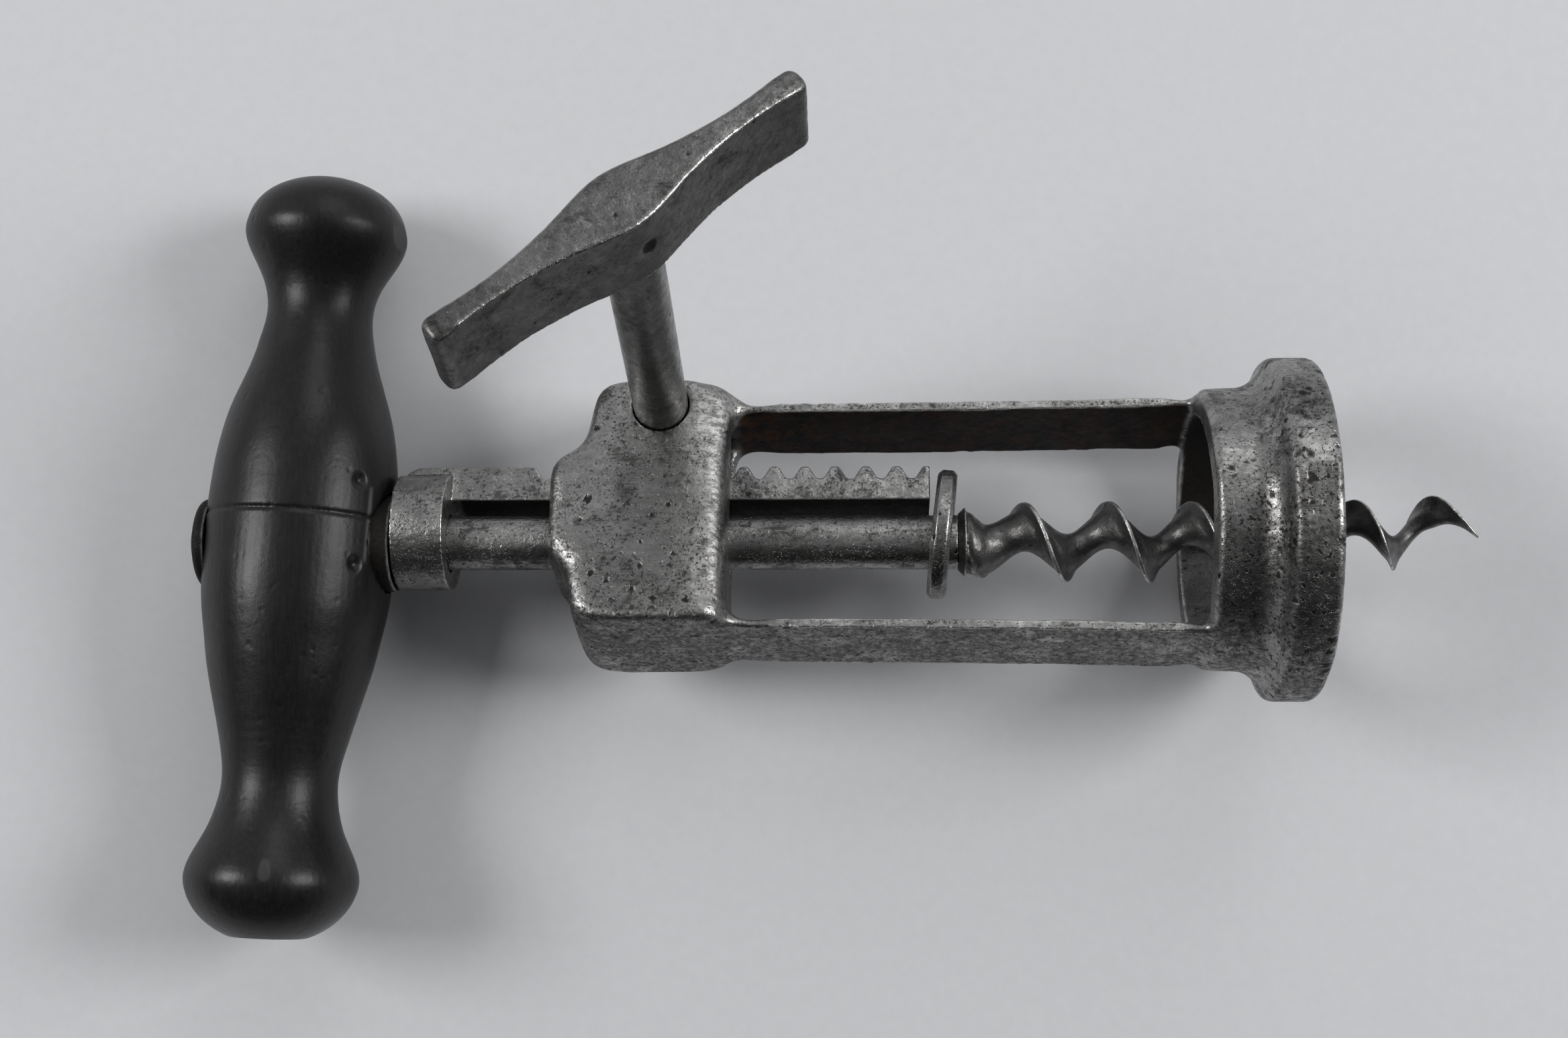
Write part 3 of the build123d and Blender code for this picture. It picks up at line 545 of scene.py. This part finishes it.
def frame_skin(material):
    """The frame: rounded, waved and pitted, with sooty dirt and painted shade inside, stains on its flange, dark
    stains as painted shade on its flanks and partly in its creases, and dark patches on its ring.
    """
    skin = Skin("frame", voxel=0.22, ease=3)
    rounded(skin)
    skin.swell(height=0.10, length=9.0, seed=11)
    x, y, z = skin.points.T
    facing = skin.normals()
    inward = -(facing[:, 0] * x + facing[:, 1] * y) / np.hypot(x, y)
    outer = smooth(-inward, -0.2, 0.3)
    flange = smooth(-z, -FLANGE_TOP - 1.5, -FLANGE_TOP + 1.0)
    plain = smooth(-x, -8.0, 14.0)
    rough = 0.2 + flange * (0.4 + plain) + 0.9 * plain * smooth(z, 60, 72)
    skin.pit(count=520, small=0.20, large=0.60, deep=0.09, seed=21, where=outer * rough)
    skin.pit(count=260, small=0.3, large=0.9, deep=0.08, seed=22, where=outer * (0.05 + flange))
    cleared(skin)
    sooted_and_shaded(skin, facing, inward)
    rise = skin.stands_out()
    skin.mark("ridge", smooth(rise, 0.04, 0.13))
    # More dark stains in the creases, partly dirt and partly painted shade
    crease_dirt_and_shade = smooth(-rise, 0.04, 0.15)
    # and on the flanks, where they stand for painted shade
    flank_shade = smooth(np.abs(facing[:, 0]), 0.6, 0.95) * outer
    # Dark patches on the ring
    ring_dark = np.maximum.reduce([depth * skin.near(spot, reach) for spot, reach, depth in RING_DARK_PATCHES])
    skin.mark("grime", 0.25 + flange * (0.2 + 0.25 * plain) + 0.95 * flank_shade + crease_dirt_and_shade + ring_dark)
    bared_and_highlit(skin, facing)
    skin.finish(material)


def blackened_and_shaded(skin):
    """How dark a piece is: painted shade on the rack's back, on the bolster and on the key's sides, or all of a
    small piece, blackened.
    """
    height = skin.points[:, 2]
    if skin.node == "rack":
        # Painted shade: the rack's back, towards the shank, darkened as the gap under the bar
        return 0.9 * smooth(-skin.normals()[:, 0], 0.4, 0.8) * smooth(EYE_FOOT - height, 0.0, 1.0)
    if skin.node == "spindle":
        # Painted shade: the bolster in the handle's recess darkened
        return 0.9 * smooth(height, *BOLSTER_SHADE)
    if skin.node == "key_bar":
        # Painted shade: the key bar's sides darker than its broad faces, though the steel is the same
        return 0.36 * smooth(0.6 - np.abs(skin.normals()[:, 1]), 0.0, 0.4)
    return np.full(len(height), SOOT_ON.get(skin.node, 0.0))


def blunted(skin):
    """Rounds the two ends of the key's bar over and sinks the dent in its side."""
    away = skin.points - skin.points.mean(axis=0)
    along = away @ np.linalg.svd(away[::50], full_matrices=False)[2][0]
    half = np.abs(along).max()
    skin.soften(smooth(np.abs(along), half - KEY_END[0], half - KEY_END[1]), KEY_END_ROUNDS)
    skin.dent(*KEY_DENT)


def steel_skin(wear, material, seed):
    """Any steel piece but the frame, worn as its row says."""
    skin = Skin(wear.node, wear.voxel, wear.ease)
    if wear.swell:
        skin.swell(wear.swell, length=6.0, seed=seed)
    if wear.pits:
        skin.pit(wear.pits, small=0.18, large=0.45, deep=0.07, seed=seed + 1)
    if wear.node == "key_bar":
        blunted(skin)
    rise = skin.stands_out()
    skin.mark("ridge", wear.bright * smooth(rise, 0.06, 0.17))
    skin.mark("soot_and_shade", blackened_and_shaded(skin))
    # The piece's dirt, with painted shade added in its creases
    skin.mark("grime", np.clip(wear.grime + 0.8 * smooth(-rise, 0.04, 0.15), 0, 1))
    skin.finish(material)


def trimmed(skin):
    """Brings the handle to the photographed outline: deep coves, an even belly, one knob worn flat."""
    away = skin.points - HANDLE_AT
    along = away @ HANDLE_AXIS
    spoke = away - along[:, None] * HANDLE_AXIS
    radius = np.linalg.norm(spoke, axis=1)
    share = np.full(len(along), HANDLE_TRIM[0][1])
    for (start, a), (end, b) in zip(HANDLE_TRIM, HANDLE_TRIM[1:]):
        share += (b - a) * smooth(along, start, end)
    bins = np.clip(((along - along.min()) / TRIM_STEP).astype(int), 0, None)
    hull = np.zeros(bins.max() + 1)
    np.maximum.at(hull, bins, radius)
    # By the recesses only the outer skin moves, not their walls
    skin_only = np.where(np.abs(along) < RECESS_HALF, smooth(radius - hull[bins], -1.6, -0.5), 1.0)
    skin.points += (skin_only * (share - 1))[:, None] * spoke
    over = (skin.points - HANDLE_AT) @ WORN_WAY - WORN_FLAT
    skin.points -= np.where(along > WORN_FROM, np.maximum(over, 0.0), 0.0)[:, None] * WORN_WAY


def handle_skin(material):
    """The wooden handle: trimmed and dented, with nicks at its recess darkened as painted shadow, and faded on the
    long knob.
    """
    skin = Skin("handle", voxel=0.25, ease=4)
    trimmed(skin)
    skin.swell(height=0.06, length=12.0, seed=31)
    skin.pit(count=90, small=0.25, large=0.8, deep=0.10, seed=32)
    skin.pit(count=700, small=0.25, large=0.45, deep=0.06, seed=33)
    # Nicks at the recess ends, darkened inside as painted shadow
    for spot in RECESS_SHADOW_NICKS:
        skin.dent(spot, reach=1.4, deep=0.8)
    chipped = 0.5 * smooth(skin.near_line(*RECESS_CHIP), 0.45, 0.85)
    faded = 0.12 * smooth(skin.near_line(*KNOB_FADED), 0.15, 0.45)
    skin.mark("chip", np.maximum(chipped, faded))
    skin.finish(material)


def dress():
    """Gives every piece its worn skin and material."""
    forged = old_steel("forged_steel", FORGED_TONE, rough=0.32, along=FORGED_BRUSH)
    dark = old_steel("dark_steel", DARK_TONE, rough=0.29, along=DARK_BRUSH)
    frame_skin(forged)
    for k, wear in enumerate(FORGED_PIECES):
        steel_skin(wear, forged, FORGED_SEED + SEED_STEP * k)
    for k, wear in enumerate(DARK_PIECES):
        steel_skin(wear, dark, DARK_SEED + SEED_STEP * k)
    handle_skin(black_wood())


def floor():
    """The pale sheet that the tool lies on."""
    mesh = bpy.data.meshes.new("table")
    corners = [(x * TABLE_HALF, y * TABLE_HALF, 0) for x, y in ((-1, -1), (1, -1), (1, 1), (-1, 1))]
    mesh.from_pydata(corners, [], [(0, 1, 2, 3)])
    table = bpy.data.objects.new("table", mesh)
    bpy.context.scene.collection.objects.link(table)
    n = Nodes("paper")
    n.put(n.mix(n.ramp(n.noise(0.5, 6.0, 0.7), 0.3, 0.7), *TABLE_TONES), "Base Color")
    n.put(0.9, "Roughness")
    mesh.materials.append(n.material)


def soft_light(name, at, side, power):
    """A soft panel that faces the middle of the table."""
    data = bpy.data.lights.new(name, "AREA")
    data.shape = "RECTANGLE"
    data.size = data.size_y = side
    data.energy = power
    lamp = bpy.data.objects.new(name, data)
    bpy.context.scene.collection.objects.link(lamp)
    lamp.location = at
    lamp.rotation_euler = lamp.location.to_track_quat("Z", "Y").to_euler()


def room_light(tree):
    """A grey room, brighter beyond the picture's top edge and dim below its foot."""
    way = tree.nodes.new("ShaderNodeTexCoord")
    split = tree.nodes.new("ShaderNodeSeparateXYZ")
    level = tree.nodes.new("ShaderNodeMapRange")
    for socket, value in zip(("From Min", "From Max", "To Min", "To Max"),
                             (*ROOM_SPAN, ROOM_DIM, ROOM_BRIGHT)):
        level.inputs[socket].default_value = value
    background = tree.nodes["Background"]
    background.inputs["Color"].default_value = ROOM_TINT
    tree.links.new(way.outputs["Generated"], split.inputs["Vector"])
    tree.links.new(split.outputs["Y"], level.inputs["Value"])
    tree.links.new(level.outputs["Result"], background.inputs["Strength"])


def studio():
    """The camera of the photograph, the room and its lamps."""
    scene = bpy.context.scene
    scene.view_settings.view_transform = "Standard"
    data = bpy.data.cameras.new("view")
    data.lens = CAMERA_LENS
    data.sensor_width = CAMERA_SENSOR
    data.sensor_fit = "HORIZONTAL"
    data.clip_start = CAMERA_NEAR
    camera = bpy.data.objects.new("view", data)
    scene.collection.objects.link(camera)
    camera.location = CAMERA_AT
    camera.rotation_euler = tuple(math.radians(a) for a in CAMERA_TURN)
    scene.camera = camera
    world = bpy.data.worlds.new("room")
    scene.world = world
    world.use_nodes = True
    room_light(world.node_tree)
    for lamp in LAMPS:
        soft_light(*lamp)


dress()
floor()
studio()
